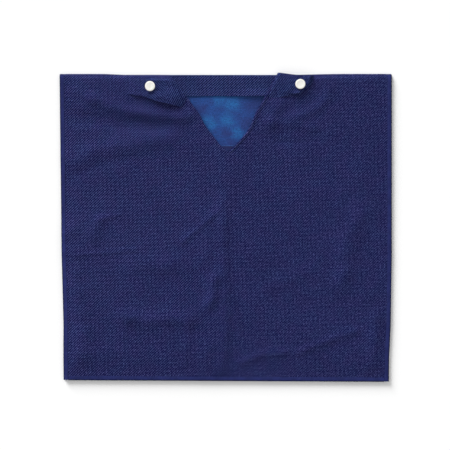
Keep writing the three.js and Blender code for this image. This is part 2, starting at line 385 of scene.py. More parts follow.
def smooth_line(points, count):
    """A smooth line through points, sampled evenly at count places."""
    points = np.array(points, float)
    steps = np.linalg.norm(np.diff(points, axis=0), axis=1)
    at = np.concatenate([[0], np.cumsum(steps)])
    slopes = np.gradient(points, at, axis=0)
    wanted = np.linspace(0, at[-1], count)
    k = np.clip(np.searchsorted(at, wanted, side="right") - 1, 0, len(steps) - 1)
    t = ((wanted - at[k]) / steps[k])[:, None]
    h = steps[k][:, None]
    a, b = points[k], points[k + 1]
    return (
        (2 * t**3 - 3 * t**2 + 1) * a
        + (t**3 - 2 * t**2 + t) * h * slopes[k]
        + (3 * t**2 - 2 * t**3) * b
        + (t**3 - t**2) * h * slopes[k + 1]
    )


def patch_between(top, right, bottom, left, rows, columns):
    """A grid of points that fills four edges: top and bottom run towards +X, left and right towards +Y."""
    low, high = smooth_line(bottom, columns), smooth_line(top, columns)
    start, end = smooth_line(left, rows), smooth_line(right, rows)
    u = np.linspace(0, 1, columns)[None, :, None]
    v = np.linspace(0, 1, rows)[:, None, None]
    straight = (1 - v) * low[None] + v * high[None] + (1 - u) * start[:, None] + u * end[:, None]
    corners = (
        (1 - u) * (1 - v) * low[0] + u * (1 - v) * low[-1] + (1 - u) * v * high[0] + u * v * high[-1]
    )
    return straight - corners


# ---------------------------------------------------------------- materials


def add(tree, kind, inputs=None, **settings):
    """Adds a shader node, with its settings and with its inputs set or linked."""
    made = tree.nodes.new("ShaderNode" + kind)
    for key, value in settings.items():
        setattr(made, key, value)
    for key, value in (inputs or {}).items():
        if isinstance(value, bpy.types.NodeSocket):
            tree.links.new(value, made.inputs[key])
        else:
            made.inputs[key].default_value = value
    return made


def maths(tree, operation, a, b=0.0, c=0.0):
    """The result of a sum on numbers or sockets."""
    return add(tree, "Math", {0: a, 1: b, 2: c}, operation=operation).outputs[0]


def mix(tree, factor, a, b):
    """Mixes two colours."""
    made = add(tree, "Mix", {0: factor}, data_type="RGBA")
    for socket, value in ((made.inputs[6], a), (made.inputs[7], b)):
        if isinstance(value, bpy.types.NodeSocket):
            tree.links.new(value, socket)
        else:
            socket.default_value = (*value[:3], 1)
    return made.outputs[2]


def clamped(tree, value, low, high):
    """Keeps a value between two limits."""
    return maths(tree, "MINIMUM", maths(tree, "MAXIMUM", value, low), high)


def remap(tree, value, low, high, to_low=0.0, to_high=1.0):
    """Stretches the span from low to high to another span, and holds it there."""
    inputs = {"Value": value, "From Min": low, "From Max": high, "To Min": to_low, "To Max": to_high}
    return add(tree, "MapRange", inputs).outputs["Result"]


def new_material(name):
    """A new material, with its node tree and its shader."""
    made = bpy.data.materials.new(name)
    made.use_nodes = True
    return made, made.node_tree, made.node_tree.nodes["Principled BSDF"]


def weave_place(tree, scale=(1, 1)):
    """Places on the flat cloth, in millimetres, as a vector."""
    flat = add(tree, "UVMap", uv_map="weave").outputs["UV"]
    inputs = {"Vector": flat, "Scale": (scale[0] / MM, scale[1] / MM, 1)}
    return add(tree, "Mapping", inputs, vector_type="POINT").outputs["Vector"]


def speckle(tree, place, size, detail=2.0, roughness=0.5):
    """Noise from about 0 to 1 with spots about size millimetres across."""
    inputs = {"Vector": place, "Scale": 1 / size, "Detail": detail, "Roughness": roughness}
    return add(tree, "TexNoise", inputs, noise_dimensions="2D").outputs["Fac"]


def scaled(tree, colour, amount):
    """A colour made lighter or darker by a number that changes over the cloth."""
    grey = add(tree, "CombineColor", {0: amount, 1: amount, 2: amount}).outputs[0]
    return multiplied(tree, colour, grey)


def multiplied(tree, first, second):
    """One colour multiplied by another."""
    made = add(tree, "Mix", {0: 1.0}, data_type="RGBA", blend_type="MULTIPLY")
    tree.links.new(first, made.inputs[6])
    tree.links.new(second, made.inputs[7])
    return made.outputs[2]


def cloth_finish(shader, roughness, sheen):
    """Sets the dull gloss of cloth."""
    shader.inputs["Roughness"].default_value = roughness
    shader.inputs["Specular IOR Level"].default_value = 0.06
    shader.inputs["Sheen Weight"].default_value = sheen
    shader.inputs["Sheen Roughness"].default_value = 0.4


def emboss(tree, shader, height, strength, depth):
    """Lets a height from about 0 to 1 stand out of the surface, by up to depth in millimetres."""
    bump = add(tree, "Bump", {"Strength": strength, "Distance": depth * MM, "Height": height}).outputs[0]
    tree.links.new(bump, shader.inputs["Normal"])


def wave(tree, place, along_x, along_y, wander=0.0):
    """Even lines across the cloth, from -1 to 1, with along_x and along_y lines to the millimetre."""
    lines = (along_x * math.tau, along_y * math.tau, 0)
    turns = add(tree, "VectorMath", {0: place, 1: lines}, operation="DOT_PRODUCT").outputs["Value"]
    return maths(tree, "COSINE", maths(tree, "ADD", turns, wander))


def stripes(tree, value, pitch):
    """Even lines, from -1 to 1, a pitch apart in millimetres."""
    return maths(tree, "COSINE", maths(tree, "MULTIPLY", value, math.tau / pitch))


# How strongly the weave shows over the flat cloth: its change to the millimetre along x and along y, and
# its value in the middle. It shows most down one side, and least beside the hem on the other side and at
# the shoulders.
SIDE_WEAR = (-0.0022, 0.0018, 0.67)
TOP_WEAR = (-0.0008, -0.0015, 0.93)
WEAR_LIMITS = (0.32, 0.97)
# The two sets of coarse yarns that cross the ribs, in lines to the millimetre along x and along y.
WARP_LINES, WEFT_LINES = (0.167, 0.0055), (0.0055, -0.161)
RIB_WANDER = 1.6  # how far the ribs stray from straight, in radians of their own waves
PLAIN_WEAVE, TAB_WEAVE, BAND_WEAVE = 1.1, 1.7, 2.4  # how strongly the ribs stand out


def plane_over(tree, place, slopes):
    """A value that changes evenly over the flat cloth."""
    spread = add(tree, "SeparateXYZ", {0: place}).outputs
    per_x, per_y, middle = slopes
    rising = maths(tree, "MULTIPLY_ADD", spread[1], per_y, middle)
    return maths(tree, "MULTIPLY_ADD", spread[0], per_x, rising)


def weave_contrast(tree, place, strength):
    """How strongly the ribs show at a place, from how the cloth is worn."""
    worn = maths(tree, "MINIMUM", plane_over(tree, place, SIDE_WEAR), plane_over(tree, place, TOP_WEAR))
    worn = clamped(tree, worn, *WEAR_LIMITS)
    patchy = remap(tree, speckle(tree, place, 50.0, 1.0), 0.3, 0.7, 0.8, 1.15)
    return maths(tree, "MULTIPLY", maths(tree, "MULTIPLY", patchy, worn), strength)


def yarn_fuzz(tree, place, contrast):
    """The fuzz and glints of single yarns, with their thick places, fainter where the weave is."""
    fuzz = maths(tree, "SUBTRACT", speckle(tree, place, 2.1, 2.0, 0.6), 0.5)
    glint_from, glint_gain, fuzz_gain = 0.08, 5.0, 1.9
    glint = maths(tree, "MAXIMUM", maths(tree, "SUBTRACT", fuzz, glint_from), 0.0)
    yarn = maths(tree, "MULTIPLY_ADD", fuzz, fuzz_gain, maths(tree, "MULTIPLY", glint, glint_gain))
    upright, level = weave_place(tree, (0.45, 0.05)), weave_place(tree, (0.05, 0.45))
    thick = maths(tree, "ADD", speckle(tree, level, 1.0), speckle(tree, upright, 1.0))
    steady = maths(tree, "MULTIPLY_ADD", contrast, 0.35, 0.65)
    return maths(tree, "MULTIPLY_ADD", yarn, steady, maths(tree, "MULTIPLY_ADD", thick, 0.3, -0.3))


def twill_material(name, dark, light, pitch, angle, strength=PLAIN_WEAVE, sheen_tint=(1.0, 1.0, 1.0)):
    """Navy twill: slanting ribs, crossed by the yarns that break them into short floats."""
    made, tree, shader = new_material(name)
    place = weave_place(tree)
    wander = remap(tree, speckle(tree, place, 60.0, 1.0), 0, 1, -RIB_WANDER, RIB_WANDER)
    across, along = math.sin(angle) / pitch, -math.cos(angle) / pitch
    rib = wave(tree, place, across, along, wander)
    counter = wave(tree, place, -along, across, wander)
    coarse = [wave(tree, place, *lines, wander) for lines in (WARP_LINES, WEFT_LINES)]
    contrast = weave_contrast(tree, place, strength)
    crossing = maths(tree, "MULTIPLY", maths(tree, "ADD", *coarse), 0.145)
    crossing = maths(tree, "MULTIPLY_ADD", counter, 0.3, crossing)
    crossing = maths(tree, "MULTIPLY", crossing, maths(tree, "MULTIPLY_ADD", contrast, 0.8, 0.2))
    weave = maths(tree, "MULTIPLY_ADD", rib, contrast, crossing)
    base = maths(tree, "MULTIPLY_ADD", contrast, -0.17, 0.48)
    level = maths(tree, "ADD", yarn_fuzz(tree, place, contrast), maths(tree, "ADD", weave, base))
    # A level past 1 is brighter than the light yarn, so the mix isn't held at 1.
    colour = mix(tree, clamped(tree, level, 0.0, 1.9), dark, light)
    colour.node.clamp_factor = False
    # The sheen tint paints the bluer sheen of the band and tabs into their colour.
    warm = (1.07 * sheen_tint[0], 0.97 * sheen_tint[1], sheen_tint[2])
    cool = (0.93 * sheen_tint[0], 1.03 * sheen_tint[1], sheen_tint[2])
    tint = mix(tree, remap(tree, speckle(tree, place, 20.0, 2.0), 0.35, 0.65), warm, cool)
    colour = multiplied(tree, colour, tint)
    mottle = remap(tree, speckle(tree, place, 38.0, 3.0, 0.55), 0.3, 0.7, 0.95, 1.05)
    tree.links.new(scaled(tree, colour, mottle), shader.inputs["Base Color"])
    emboss(tree, shader, maths(tree, "MULTIPLY_ADD", crossing, 0.8, rib), 0.6, 0.1)
    cloth_finish(shader, 0.85, 0.02)
    return made


# Where the inside of the back is most rubbed and where it keeps its dye, in plan: x, y and reach.
RUBBED = [(-23, 151, 17), (2, 156, 17), (9, 180, 20), (-10, 185, 16), (16, 137, 13)]
DYED = [(-38, 171, 17), (44, 178, 34), (31, 152, 20), (2, 136, 14), (-56, 186, 9), (6, 120, 20)]


def spot_cover(tree, place, spots):
    """A soft patch round each spot, from 0 to 1."""
    total = 0.0
    for x, y, reach in spots:
        off = add(tree, "VectorMath", {0: place, 1: (x, y, 0)}, operation="DISTANCE").outputs["Value"]
        inputs = {"Value": off, "From Min": reach, "From Max": 0.0}
        patch = add(tree, "MapRange", inputs, interpolation_type="SMOOTHSTEP").outputs["Result"]
        total = maths(tree, "MAXIMUM", patch, total)
    return total


def drifting(tree, place, size, reach):
    """Moves places about on the flat cloth, so that what is drawn there has uneven edges."""
    inputs = {"Vector": place, "Scale": 1 / size, "Detail": 2.0}
    drift = add(tree, "TexNoise", inputs, noise_dimensions="2D").outputs["Color"]
    shift = add(tree, "VectorMath", {0: drift, 1: (0.5, 0.5, 0.5)}, operation="SUBTRACT").outputs[0]
    moved = add(tree, "VectorMath", {0: shift, 1: reach, 2: place}, operation="MULTIPLY_ADD").outputs[0]
    return add(tree, "VectorMath", {0: moved, 1: (1, 1, 0)}, operation="MULTIPLY").outputs[0]


LINING_PITCH, LINING_ANGLE = 1.9, 0.76  # the faint ribs of the inner face, in millimetres and radians
HIGHLIGHT_EDGE = 0.6  # how softly the painted highlight on an upper edge begins


def lining_material(name, colour, deep, pale, highlight_above=None):
    """The cloth's paler inner face, brushed and unevenly dyed, with a painted highlight above a line if one
    is given.
    """
    made, tree, shader = new_material(name)
    place = weave_place(tree)
    moved = drifting(tree, place, 14, (20, 12, 0))
    brushed = weave_place(tree, (0.45, 1.0))
    cloud = remap(tree, speckle(tree, brushed, 6.0, 3.0, 0.6), 0.3, 0.7, 0.0, 0.6)
    tone = mix(tree, maths(tree, "MAXIMUM", spot_cover(tree, moved, DYED), cloud), colour, deep)
    pick = remap(tree, speckle(tree, brushed, 3.0, 3.0, 0.7), 0.3, 0.7, 0.25, 1.0)
    tone = mix(tree, maths(tree, "MULTIPLY", spot_cover(tree, moved, RUBBED), pick), tone, pale)
    # Painted highlight: above the line the tone turns pale, as the upper edge of a raised rim catching the
    # light.
    if highlight_above is not None:
        up = add(tree, "SeparateXYZ", {0: place}).outputs[1]
        highlight = remap(tree, up, highlight_above - HIGHLIGHT_EDGE, highlight_above + HIGHLIGHT_EDGE, 0.0, 0.55)
        tone = mix(tree, highlight, tone, pale)
    across, along = math.sin(LINING_ANGLE) / LINING_PITCH, -math.cos(LINING_ANGLE) / LINING_PITCH
    grain = maths(tree, "MULTIPLY_ADD", wave(tree, place, across, along), 0.5, 0.5)
    fuzz = speckle(tree, place, 2.0, 3.0, 0.7)
    shade = maths(tree, "MULTIPLY_ADD", grain, 0.24, remap(tree, fuzz, 0.3, 0.7, 0.58, 1.2))
    tree.links.new(scaled(tree, tone, shade), shader.inputs["Base Color"])
    emboss(tree, shader, maths(tree, "MULTIPLY_ADD", fuzz, 0.6, grain), 0.5, 0.1)
    cloth_finish(shader, 0.9, 0.05)
    return made


def tape_material(name, colour, fold_shade):
    """Plain woven tape, painted darker near its fold as shade on the rounded edge. Across the tape, the weave
    map's first number runs in from the fold.
    """
    made, tree, shader = new_material(name)
    place = weave_place(tree)
    split = add(tree, "SeparateXYZ", {0: place}).outputs
    yarn_pitch = 0.9
    warp, weft = stripes(tree, split[0], yarn_pitch), stripes(tree, split[1], yarn_pitch)
    grain = maths(tree, "MULTIPLY_ADD", maths(tree, "MULTIPLY", warp, weft), 0.5, 0.5)
    worn = remap(tree, speckle(tree, place, 9.0, 3.0), 0.3, 0.7, 0.82, 1.12)
    # Painted shade: the tape darkens towards its fold, where its rounded edge turns from the light.
    tone = mix(tree, remap(tree, split[0], 0.2, 1.6), fold_shade, colour)
    shade = maths(tree, "MULTIPLY", worn, maths(tree, "MULTIPLY_ADD", grain, 0.12, 0.94))
    tree.links.new(scaled(tree, tone, shade), shader.inputs["Base Color"])
    emboss(tree, shader, grain, 0.5, 0.06)
    cloth_finish(shader, 0.8, 0.05)
    return made


def thread_material(name, colour):
    """Twisted sewing thread, with its strands as a fine slant along each stitch."""
    made, tree, shader = new_material(name)
    split = add(tree, "SeparateXYZ", {0: weave_place(tree)}).outputs
    strand_pitch = 0.5
    twist = maths(tree, "MULTIPLY_ADD", split[0], 0.8, split[1])
    strand = maths(tree, "MULTIPLY_ADD", stripes(tree, twist, strand_pitch), 0.5, 0.5)
    dark = tuple(c * 0.7 for c in colour)
    tree.links.new(mix(tree, strand, dark, colour), shader.inputs["Base Color"])
    emboss(tree, shader, strand, 0.4, 0.05)
    cloth_finish(shader, 0.55, 0.1)
    return made


def plastic_material(name, colour, warm, roughness):
    """Moulded plastic, with patches a little warmer in colour and a faint mould texture."""
    made, tree, shader = new_material(name)
    place = add(tree, "TexCoord").outputs["Object"]
    spots = add(tree, "TexNoise", {"Vector": place, "Scale": 350.0, "Detail": 3.0}).outputs["Fac"]
    tree.links.new(mix(tree, remap(tree, spots, 0.35, 0.65), warm, colour), shader.inputs["Base Color"])
    fine = add(tree, "TexNoise", {"Vector": place, "Scale": 2600.0, "Detail": 2.0}).outputs["Fac"]
    emboss(tree, shader, fine, 0.15, 0.03)
    shader.inputs["Roughness"].default_value = roughness
    shader.inputs["Subsurface Weight"].default_value = 0.15
    shader.inputs["Subsurface Radius"].default_value = (0.002, 0.002, 0.002)
    return made


def material(name):
    """A named finish of the apron, made once from the settings in the sidebar."""
    if name in bpy.data.materials:
        return bpy.data.materials[name]
    cloths, snaps = bpy.context.scene.apron_cloth, bpy.context.scene.apron_snaps
    twill = (tuple(cloths.rib_shadow), tuple(cloths.rib_light), cloths.rib_pitch, cloths.rib_angle)
    inner = (cloths.inner, cloths.inner_deep, cloths.inner_pale)
    # The patch's upper edge gets a painted highlight a little below its top.
    point = (cloths.point, cloths.point_deep, cloths.point_highlight, PATCH_HIGH[1] - 1.3)
    makers = {
        "outer_twill": lambda n: twill_material(n, *twill),
        "band_twill": lambda n: twill_material(n, *twill, BAND_WEAVE, cloths.neck_sheen_tint),
        "tab_twill": lambda n: twill_material(n, *twill, TAB_WEAVE, cloths.neck_sheen_tint),
        "inner_face": lambda n: lining_material(n, *inner),
        "point_cloth": lambda n: lining_material(n, *point),
        "woven_tape": lambda n: tape_material(n, cloths.tape, cloths.tape_fold_shade),
        "sewing_thread": lambda n: thread_material(n, cloths.thread),
        "cap_plastic": lambda n: plastic_material(n, snaps.cap_colour, snaps.cap_warm, 0.38),
        "stud_plastic": lambda n: plastic_material(n, snaps.inner_colour, snaps.cap_warm, 0.45),
    }
    return makers[name](name)


# ---------------------------------------------------------------- settings


def colour_setting(name, description, default):
    """A colour in the sidebar."""
    limits = {"size": 3, "min": 0, "max": 1}
    return FloatVectorProperty(name=name, description=description, subtype="COLOR", default=default, **limits)


def length_setting(name, description, default, low=-1000, high=1000):
    """A length in the sidebar, in millimetres."""
    words = description + ", in millimetres"
    return FloatProperty(name=name, description=words, default=default, min=low, max=high)


def strength_setting(name, description, default):
    """A light's strength in the sidebar."""
    return FloatProperty(name=name, description=description, default=default, min=0)


def angle_setting(name, description, degrees):
    """An angle in the sidebar."""
    return FloatProperty(name=name, description=description, subtype="ANGLE", default=math.radians(degrees))


class ApronCloth(bpy.types.PropertyGroup):
    """The apron's cloth, tape and thread."""

    rib_light: colour_setting("Rib light", "Top of a twill rib", (0.035, 0.042, 0.138))
    rib_shadow: colour_setting("Rib shadow", "Groove between two ribs", (0.0, 0.0003, 0.038))
    rib_pitch: length_setting("Rib pitch", "From one rib to the next", 2.68, 0.5, 6)
    rib_angle: angle_setting("Rib angle", "Slant of the ribs", 43.8)
    # Painted sheen: the band and tabs are tinted bluer, as their cloth looks where the light catches it.
    neck_sheen_tint: colour_setting("Neck cast", "Tint of the band and tabs, worn bluer", (0.84, 0.98, 0.96))
    inner: colour_setting("Inner face", "Inside of the cloth", (0.0205, 0.0645, 0.238))
    inner_deep: colour_setting("Inner face, deep", "Darker dye on the inside", (0.0235, 0.041, 0.16))
    inner_pale: colour_setting("Inner face, pale", "Lighter dye on the inside", (0.021, 0.125, 0.35))
    point: colour_setting("Point patch", "Patch behind the point of the neck", (0.02, 0.034, 0.13))
    point_deep: colour_setting("Point patch, deep", "Darker dye on the patch", (0.02, 0.022, 0.085))
    # Painted highlight along the point patch's upper edge.
    point_highlight: colour_setting("Point patch, edge", "Rubbed upper edge of the patch", (0.04, 0.11, 0.34))
    tape: colour_setting("Tape", "Edging tape", (0.0175, 0.0228, 0.108))
    # Painted shade on the tape's rounded fold.
    tape_fold_shade: colour_setting("Tape fold", "Where the tape turns over the edge", (0.009, 0.012, 0.055))
    thread: colour_setting("Thread", "Sewing thread", (0.035, 0.045, 0.16))


class ApronSewing(bpy.types.PropertyGroup):
    """The sizes of the sewing."""

    stitch_pitch: length_setting("Stitch pitch", "From one stitch to the next", 3.2, 1, 8)
    stitch_length: length_setting("Stitch length", "Length of a stitch", 2.5, 0.5, 6)
    thread_width: length_setting("Thread width", "Width of the thread", 0.55, 0.1, 1.5)
    tape_width: length_setting("Tape width", "Width of the edging on each face", 6.0, 2, 20)
    cloth_step: length_setting("Cloth step", "Spacing of the cloth's mesh", 3.0, 1, 20)


class ApronSnaps(bpy.types.PropertyGroup):
    """The press studs."""

    cap_colour: colour_setting("Cap", "Cap of a press stud", (0.83, 0.83, 0.80))
    cap_warm: colour_setting("Cap, warm", "Warmer tint in the plastic", (0.80, 0.79, 0.73))
    inner_colour: colour_setting("Stud and socket", "Hidden pieces of a press stud", (0.70, 0.70, 0.67))
    rim: length_setting("Rim", "Rounding of a cap's rim", 0.8, 0.1, 2)
    sides: IntProperty(name="Sides", description="Faces round a press stud", default=64, min=12, max=128)


class ApronStage(bpy.types.PropertyGroup):
    """The floor, the light and the camera."""

    view_width: length_setting("View width", "Width of the view", 652.5, 100, 2000)
    view_right: length_setting("View right", "The view's middle from the apron's", -1.45)
    view_up: length_setting("View up", "The view's middle above the apron's", 3.25)
    lens: length_setting("Lens", "Focal length", 85, 10, 300)
    key: strength_setting("Key light", "Strength of the key light", 5.2)
    key_height: angle_setting("Key height", "Angle of the key light above the floor", 17)
    key_spread: angle_setting("Key spread", "Angular size of the key light", 28)
    key_turn: angle_setting("Key turn", "Where the key light stands, from +X", 122)
    ambient: strength_setting("Ambient", "Strength of the surrounding light", 0.6)


# ---------------------------------------------------------------- pieces


PANEL_WIDTH = 2 * abs(CORNERS["top_left"][0])


def sheet_rows(low, high, step):
    """Level rows about a step apart, with one at each end."""
    return np.linspace(low, high, max(2, int(round((high - low) / step)) + 1))


def level_grid(low, high, columns, rows):
    """The x and y of a grid of points with level rows, between two corners in x."""
    x = np.repeat(np.linspace(low, high, columns)[None, :], len(rows), axis=0)
    return x, np.repeat(rows[:, None], columns, axis=1)


def bend_at_shoulder(piece):
    """Bakes a piece of the front into place; the front panel is sewn to the back at the shoulder."""
    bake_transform(piece)


def hem_offset(x, y):
    """How far the slanting hem moves a point of a level row, fading out up the panel."""
    left, right = CORNERS["low_left"], CORNERS["low_right"]
    slope = np.interp(x, [left[0], right[0]], [left[1] - HEM, right[1] - HEM])
    height = (y - HEM) / (TOP_EDGE - HEM)
    return slope * np.clip(1 - 1.6 * height, 0, 1) ** 2


def panel_patch(left, right, rows, columns, height, finer=0.0):
    """A grid between two edges, each with an x for every row. finer above 0 crowds it to the right."""
    u = np.linspace(0, 1, columns)[None, :]
    u = u + finer * np.sin(math.pi * u) / math.pi
    x = left[:, None] * (1 - u) + right[:, None] * u
    y = np.repeat(rows[:, None], columns, axis=1)
    y = y + hem_offset(x, y)
    return np.stack([x, laid(x, y), height(x, y)], axis=-1)


class APRON_OT_back_panel(bpy.types.Operator):
    """Make the back panel and its turned neck band"""

    bl_idname = "apron.back_panel"
    bl_label = "Back Panel"

    def execute(self, context):
        step = context.scene.apron_sewing.cloth_step
        rows = sheet_rows(HEM, TOP_EDGE, step)
        columns = int(PANEL_WIDTH / step)
        patch = panel_patch(panel_side(-1, rows), panel_side(1, rows), rows, columns, back_height)
        # The back panel lies with the inside of the garment up.
        upper, lower = material("inner_face"), material("outer_twill")
        panel = cloth("back_panel_cloth", [patch], outside=upper, inside=lower)
        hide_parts("back_panel")
        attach(panel, "back")
        self.band(step)
        return {"FINISHED"}

    def band(self, step):
        """The turned band, whose free lower edge stands a little off the panel, most at its right end."""
        rows = sheet_rows(BAND_LOW[1], BAND_HIGH[1], step / 2)
        columns = int((BAND_HIGH[0] - BAND_LOW[0]) / step * 1.5)
        x, y = level_grid(BAND_LOW[0], BAND_HIGH[0], columns, rows)
        sag = 0.5 * rumple(x, 0 * y, 40, 9.4)
        loose = 12  # how far up from its free edge the band stands off the panel
        free = ease((BAND_LOW[1] + loose - y) / loose)
        gap = 0.35 + 1.9 * ease((x + 5) / 50)
        lift = free * gap + 0.08 * rumple(x, y, 9, 1.7) + 0.08
        y = y + free * (sag - 1.2) - 0.4
        # Its ends lie under the front panel, where there is little room.
        limit = np.where(np.abs(x - NECK_POINT[0]) > 60, 0.25, 2.5)
        z = BAND_HIGH[2] + np.minimum(lift, limit) - near_shoulder(y, 3.5) * 0.35
        band = cloth("neck_band_cloth", [np.stack([x, y, z], axis=-1)], outside=material("band_twill"))
        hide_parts("back_neck_band")
        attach(band, "back")
        return band


class APRON_OT_front_panel(bpy.types.Operator):
    """Make the front panel, with its V neck, the way its cloth lies and the patch behind the neck's point"""

    bl_idname = "apron.front_panel"
    bl_label = "Front Panel"

    def execute(self, context):
        step = context.scene.apron_sewing.cloth_step
        rows = self.rows(step)
        middle = {side: np.where(rows < NECK_POINT[1], NECK_POINT[0], neck_x(side, rows)) for side in (-1, 1)}
        columns = int(0.575 * PANEL_WIDTH / step)
        crowding = 0.55  # how much closer together the columns stand beside the neck
        halves = [
            panel_patch(panel_side(-1, rows), middle[-1], rows, columns, front_height, crowding),
            panel_patch(middle[1], panel_side(1, rows), rows, columns, front_height, -crowding),
        ]
        upper, lower = material("outer_twill"), material("inner_face")
        panel = cloth("front_panel_cloth", halves, outside=upper, inside=lower)
        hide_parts("front_panel")
        bend_at_shoulder(panel)
        self.patch()
        return {"FINISHED"}

    def rows(self, step):
        """The rows of the panel's mesh: closer together above the neck's point, and closest at the pleat."""
        pleat_low, pleat_high = PLEAT_EDGE[-1][1] - 7, PLEAT_EDGE[0][1] + 1
        spans = [
            (HEM, NECK_POINT[1], step),
            (NECK_POINT[1], pleat_low, step * 0.8),
            (pleat_low, pleat_high, step / 3),
            (pleat_high, TOP_EDGE, step * 0.8),
        ]
        return np.concatenate([[HEM]] + [sheet_rows(*part)[1:] for part in spans])

    def patch(self):
        """The patch behind the point of the neck, its upper edge a little uneven."""
        rows, columns = 12, 18
        v = np.linspace(0, 1, rows)[:, None]
        u = np.linspace(0, 1, columns)[None, :]
        foot = 0.47  # the width of its lower edge, as a share of its upper one
        middle = (PATCH_LOW[0] + PATCH_HIGH[0]) / 2
        half = (PATCH_HIGH[0] - PATCH_LOW[0]) / 2 * (foot + (1 - foot) * v)
        x = middle + half * (2 * u - 1)
        y = PATCH_LOW[1] + (PATCH_HIGH[1] - PATCH_LOW[1]) * v + 0.5 * v * rumple(x, 0 * x, 7, 4.4)
        z = PATCH_HIGH[2] + 0.25 + 0.1 * rumple(x, y, 8, 6.6)
        grid = np.stack([x, y, z], axis=-1)
        patch = cloth("neck_point_patch_cloth", [grid], outside=material("point_cloth"))
        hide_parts("neck_point_patch")
        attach(patch, "front")
        return patch


# The outline of each tab, as rows of x, y and the tab's height over the front panel: its four edges, the
# lower and the upper one running towards +X, the left and the right one running up.
LEFT_TAB = {
    "bottom": [
        (-120, 189, -0.2),
        (-112, 186.8, 4.2),
        (-102, 183, 6.4),
        (-89, 179.6, 6.8),
        (-74, 176.2, 4.6),
        (-65, 174, 1.2),
    ],
    "right": [
        (-65, 174, 1.2),
        (-60, 180, 0.4),
        (-57.5, 188, 0.3),
        (-61.5, 195.5, 0.7),
        (-69.5, 205, 1.4),
        (-78, 215.3, 2.2),
    ],
    "top": [(-118, 214, -0.5), (-110, 215.6, 1.2), (-95, 216.2, 2), (-78, 215.3, 2.2)],
    "left": [(-120, 189, -0.2), (-121, 199, -0.5), (-120.5, 207, -0.5), (-118, 214, -0.5)],
}
RIGHT_TAB = {
    "bottom": [(56.5, 187, -0.2), (74, 187.5, 0.2), (88, 190, 1.6), (98, 190, 4), (106, 191.4, 5.4)],
    "right": [
        (106, 191.4, 5.4),
        (113, 196.5, 6),
        (119.5, 202.5, 6.2),
        (123.8, 208.5, 6),
        (126.3, 214, 5),
        (127.5, 219.6, 3),
    ],
    "top": [(75.2, 224, 1.6), (87, 222.4, 1.8), (99, 220.8, 2.2), (112, 220, 2.6), (127.5, 219.6, 3)],
    "left": [(56.5, 187, -0.2), (65.2, 203, 1.8), (71, 216, 2.4), (75.2, 224, 1.6)],
}
# The small folds in each tab: the line, width and height of each.
LEFT_FOLDS = [
    ([(-104, 196), (-92, 187)], 4, 1.0),
    ([(-98, 209), (-78, 200)], 5, -0.6),
    ([(-84, 196), (-70, 186)], 5, 0.8),
    ([(-133, 220), (-119, 207)], 3, 0.8),
]
RIGHT_FOLDS = [
    ([(96, 203), (78, 192)], 5, 0.7),
    ([(97, 213), (82, 216)], 4, -0.5),
    ([(120, 218), (119, 207)], 2.2, 1.6),
]
SNAP_HOLD = 7.5  # how far from the middle of a press stud the tab is held flat
ROLL_REACH = 5  # how far in from a tab's rim its roll begins
RIM_DROP = {"left": 1.3, "right": 4.6}  # how far the free rim rolls under
LIT_DROP = 2.2  # how far the edge nearest the light rolls down to the cloth below it


def turned(x, y, angle):
    """The weave's place where the cloth's threads are turned by an angle."""
    c, s = math.cos(angle), math.sin(angle)
    return np.stack([c * x + s * y, c * y - s * x], axis=-1)


def left_tab_weave(x, y):
    """The left tab's twill runs on from the panel, turns back under the snap and turns again beyond it."""
    plain, back, beyond = turned(x, y, 0), turned(-x, y, 0), turned(x, y, math.radians(18))
    return np.where((x < -112)[..., None], plain, np.where((x < -87)[..., None], back, beyond))


def right_tab_weave(x, y):
    """The right tab's twill is cut a little off the line of the panel's."""
    return turned(x, y, math.radians(8))


def tab_rims(side, u, v):
    """About how far each point lies in from a tab's free rim, and from its edge nearest the light."""
    if side == "right":
        return np.minimum(v * 30, (1 - u) * 50), u * 55
    return v * 30 + 0 * u, (1 - v) * 38


def tab_height(side, x, y, lift, rows, columns):
    """The height of a tab's upper face: over the front panel, held up at the stud, its rims rolled down."""
    below = np.minimum(y, TOP_EDGE - TOP_FADE)
    z = front_height(x, below) - pleat(x, below) * ease((x + 121) / 12) + lift
    off = np.hypot(x - SNAP[side][0], y - SNAP[side][1])
    angle = np.arctan2(y - SNAP[side][1], x - SNAP[side][0])
    pucker = 0.3 * np.cos(7 * angle + 0.6) * np.exp(-(((off - 12) / 4) ** 2))
    held = 1 - ease((off - SNAP_HOLD) / 12)
    z = z * (1 - held) + span(side + "_shoulder_tab")[1][2] * held + pucker
    v = np.linspace(0, 1, rows)[:, None]
    u = np.linspace(0, 1, columns)[None, :]
    rim, lit = tab_rims(side, u, v)
    z = z - RIM_DROP[side] * (1 - ease(rim / ROLL_REACH)) * ease((lift - 1.5) / 2)
    return z - LIT_DROP * (1 - ease(lit / ROLL_REACH)) * ease((lift - 0.2) / 1.2)


def tab_cloth(side, edges, weave_of, folds):
    """One shoulder tab: a sheet inside its four edges, sewn to the front panel at its root."""
    rows, columns = 44, 56
    patch = patch_between(edges["top"], edges["right"], edges["bottom"], edges["left"], rows, columns)
    x, y, lift = patch[..., 0], patch[..., 1], patch[..., 2]
    lift = lift + 0.1 * rumple(x, y, 7, 8.8)
    for line, width, height in folds:
        lift = lift + crease(x, y, line, width, height)
    patch = np.stack([x, y, tab_height(side, x, y, lift, rows, columns)], axis=-1)
    outside, inside = material("tab_twill"), material("inner_face")
    tab = cloth(side + "_tab_cloth", [patch], [weave_of(x, y)], outside=outside, inside=inside)
    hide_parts(side + "_shoulder_tab")
    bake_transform(tab)
    return tab


class APRON_OT_shoulder_tabs(bpy.types.Operator):
    """Make the two shoulder tabs, raised over their press studs"""

    bl_idname = "apron.shoulder_tabs"
    bl_label = "Shoulder Tabs"

    def execute(self, context):
        tab_cloth("left", LEFT_TAB, left_tab_weave, LEFT_FOLDS)
        tab_cloth("right", RIGHT_TAB, right_tab_weave, RIGHT_FOLDS)
        return {"FINISHED"}


